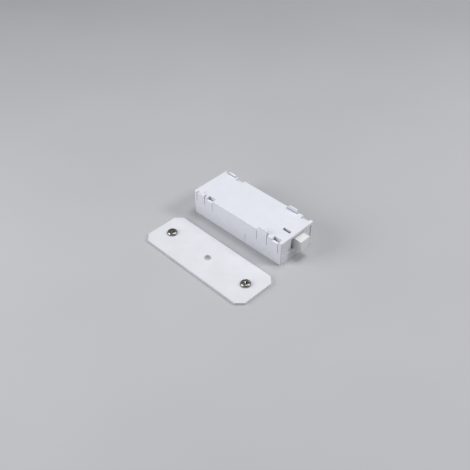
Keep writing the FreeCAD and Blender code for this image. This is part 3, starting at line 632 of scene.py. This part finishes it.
def terminals():
    """Pads and leads: rows round the chip, caps on the resistors, ends of the diode, feet of the switch."""
    shape = bmesh.new()
    low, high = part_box("radio_chip")
    out, lap, half = 0.3 * MM, 0.02 * MM, 0.13 * MM
    for k in range(CHIP_PINS):
        step = (k - (CHIP_PINS - 1) / 2) * CHIP_PIN_PITCH * MM
        x, y = (low.x + high.x) / 2 + step, (low.y + high.y) / 2 + step
        for side in ((low.y - out, low.y + lap), (high.y - lap, high.y + out)):
            pad(shape, (x - half, x + half), side, 0.12, 0.03)
        for side in ((low.x - out, low.x + lap), (high.x - lap, high.x + out)):
            pad(shape, side, (y - half, y + half), 0.12, 0.03)
    for x, y in RESISTORS:
        for start in (x - 0.05, x + 1.25):
            pad(shape, (start * MM, (start + 0.4) * MM), ((y - 0.03) * MM, (y + 0.83) * MM), 0.53, 0.06)
    low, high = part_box("status_led")
    for start in (low.x - 0.25 * MM, high.x - 0.15 * MM):
        pad(shape, (start, start + 0.4 * MM), (low.y + 0.1 * MM, high.y - 0.1 * MM), 0.3, 0.05)
    low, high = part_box("pairing_switch_base")
    for x in (low.x - 0.55 * MM, high.x - 0.05 * MM):
        for y in (low.y + 0.6 * MM, high.y - 1.2 * MM):
            pad(shape, (x, x + 0.6 * MM), (y, y + 0.6 * MM), 0.25, 0.05)
    add_piece("component_terminals", shape, "housing", "contact_metal", smooth=False)


def solder_joints():
    """Small domes of solder where the legs and battery tabs meet the board."""
    shape = bmesh.new()
    spots = []
    low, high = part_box("antenna_coil")
    spots += [(low.x + 0.3 * MM, (low.y + high.y) / 2), (high.x - 0.3 * MM, (low.y + high.y) / 2)]
    for node in ("battery_negative_plate", "battery_positive_plate"):
        low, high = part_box(node)
        inner = high.x - 0.5 * MM if "negative" in node else low.x + 0.5 * MM
        spots.append((inner, high.y - 1.2 * MM))
    low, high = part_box("storage_capacitor")
    spots += [(low.x - 0.35 * MM, (low.y + high.y) / 2), (high.x + 0.35 * MM, (low.y + high.y) / 2)]
    for x, y in spots:
        profile = [(0.75, 0.0), (0.66, 0.12), (0.46, 0.34), (0.28, 0.46), (0.1, 0.5)]
        lathe(shape, [(r * MM, z * MM) for r, z in profile], Vector((x, y, BOARD_TOP + 0.01 * MM)), 24)
    add_piece("solder_joints", shape, "housing", "contact_metal")


def traces():
    """Copper tracks under the mask, as thin raised bands between the parts."""
    shape = bmesh.new()
    for points in TRACKS:
        for (x0, y0), (x1, y1) in zip(points, points[1:]):
            along = Vector((x1 - x0, y1 - y0, 0))
            side = Vector((-along.y, along.x, 0)).normalized() * TRACK_HALF_WIDTH
            start, end = Vector((x0, y0, 0)), Vector((x1, y1, 0))
            ends = [start - side, end - side, end + side, start + side]
            top = [shape.verts.new(e * MM + Vector((0, 0, BOARD_TOP + 0.045 * MM))) for e in ends]
            foot = [shape.verts.new(e * MM + Vector((0, 0, BOARD_TOP - 0.02 * MM))) for e in ends]
            skin(shape, [foot, top])
            shape.faces.new(top)
            shape.faces.new(list(reversed(foot)))
    add_piece("board_tracks", shape, "housing", "board_laminate", smooth=False)


def capacitor_top():
    """The bare metal top of the capacitor, scored with a cross so that it can vent."""
    low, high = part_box("storage_capacitor")
    centre = (low + high) / 2
    radius = (high.x - low.x) / 2 - 0.45 * MM
    shape = bmesh.new()
    segments, steps = 72, 16
    rings = []
    for k in range(1, steps + 1):
        across = radius * k / steps
        ring = []
        for n in range(segments):
            angle = math.tau * n / segments
            x, y = across * math.cos(angle), across * math.sin(angle)
            groove = 0.05 * MM if min(abs(x), abs(y)) < 0.12 * MM and across < 0.8 * radius else 0.0
            ring.append(shape.verts.new((centre.x + x, centre.y + y, high.z + 0.06 * MM - groove)))
        rings.append(ring)
    rings.append([shape.verts.new((v.co.x, v.co.y, high.z - 0.02 * MM)) for v in rings[-1]])
    skin(shape, rings)
    middle = shape.verts.new((centre.x, centre.y, high.z + 0.01 * MM))
    for n in range(segments):
        shape.faces.new((middle, rings[0][n], rings[0][(n + 1) % segments]))
    shape.faces.new(list(reversed(rings[-1])))
    add_piece("capacitor_vent_top", shape, "housing", "contact_metal", smooth=False)


def sleeve():
    """The film sleeve round the cell, shrunk over both shoulders."""
    low, high = CELL_LOW, CELL_HIGH
    radius = (high.z - low.z) / 2
    film = 0.04 * MM
    shape = bmesh.new()
    centre = Vector((0, (low.y + high.y) / 2, (low.z + high.z) / 2))
    start, end = low.x - 0.02 * MM, high.x + 0.02 * MM
    outer = [
        (radius - 0.9 * MM, start - film),
        (radius - 0.42 * MM, start - film),
        (radius - 0.06 * MM, start + 0.22 * MM),
        (radius + film, start + 0.62 * MM),
        (radius + film, end - 0.62 * MM),
        (radius - 0.06 * MM, end - 0.22 * MM),
        (radius - 0.42 * MM, end + film),
        (radius - 0.9 * MM, end + film),
    ]
    inner = [(across - film * 0.9, x) for across, x in reversed(outer)]
    segments = 96
    rings = []
    for radius, x in outer + inner:
        around = []
        for n in range(segments):
            angle = math.tau * n / segments
            spoke = Vector((x, radius * math.cos(angle), radius * math.sin(angle)))
            around.append(shape.verts.new(centre + spoke))
        rings.append(around)
    skin(shape, rings, closed=True)
    add_piece("cell_film_sleeve", shape, "housing", "cell_sleeve")


terminals()
solder_joints()
traces()
capacitor_top()
sleeve()


# ---- Stage: floor, light and camera ----

CAMERA_AT = mm(202.69, -223.18, 260.75)
CAMERA_AIM = mm(-1.937, -11.861, 0.0)
LENS = 53.6


def aim(thing, target):
    thing.rotation_euler = (target - thing.location).to_track_quat("-Z", "Y").to_euler()


def add_camera():
    data = bpy.data.cameras.new("camera")
    data.lens = LENS
    data.sensor_width = 36.0
    data.clip_start = 0.01
    camera = bpy.data.objects.new("camera", data)
    camera.location = CAMERA_AT
    bpy.context.scene.collection.objects.link(camera)
    aim(camera, CAMERA_AIM)
    bpy.context.scene.camera = camera


def add_light(name, place, size, power, colour=(1, 1, 1)):
    data = bpy.data.lights.new(name, "AREA")
    data.shape = "DISK"
    data.size = size
    data.energy = power
    data.color = colour
    light = bpy.data.objects.new(name, data)
    light.location = place
    bpy.context.scene.collection.objects.link(light)
    aim(light, CAMERA_AIM)


def add_floor():
    material, nodes, links, shader = new_material("floor_card")
    cloud = noise(nodes, links, object_place(nodes), 7, 3.0)
    grey = ramp(nodes, links, cloud, [(0.3, (0.49, 0.49, 0.495)), (0.7, (0.52, 0.52, 0.525))])
    links.new(grey, shader.inputs["Base Color"])
    shader.inputs["Roughness"].default_value = 0.75
    shape = bmesh.new()
    bmesh.ops.create_grid(shape, x_segments=1, y_segments=1, size=3.0)
    mesh = bpy.data.meshes.new("floor")
    shape.to_mesh(mesh)
    shape.free()
    mesh.materials.append(material)
    floor = bpy.data.objects.new("floor", mesh)
    floor.location.z = CAD_BOX[0][2] - 0.02 * MM
    bpy.context.scene.collection.objects.link(floor)


def add_world():
    world = bpy.data.worlds.new("studio")
    world.use_nodes = True
    background = world.node_tree.nodes["Background"]
    background.inputs["Color"].default_value = (0.86, 0.9, 1.0, 1.0)
    background.inputs["Strength"].default_value = 0.2
    bpy.context.scene.world = world


add_camera()
add_light("key_softbox", Vector((0.05, 0.16, 0.78)), 0.36, 2.7, (0.96, 0.975, 1.0))
add_light("front_fill", Vector((-0.26, -0.42, 0.26)), 0.34, 1.62, (0.97, 0.98, 1.0))
add_light("end_fill", Vector((0.45, 0.35, 0.5)), 0.22, 1.95, (1.0, 0.99, 0.98))
add_floor()
add_world()
bpy.context.scene.view_settings.view_transform = "Standard"
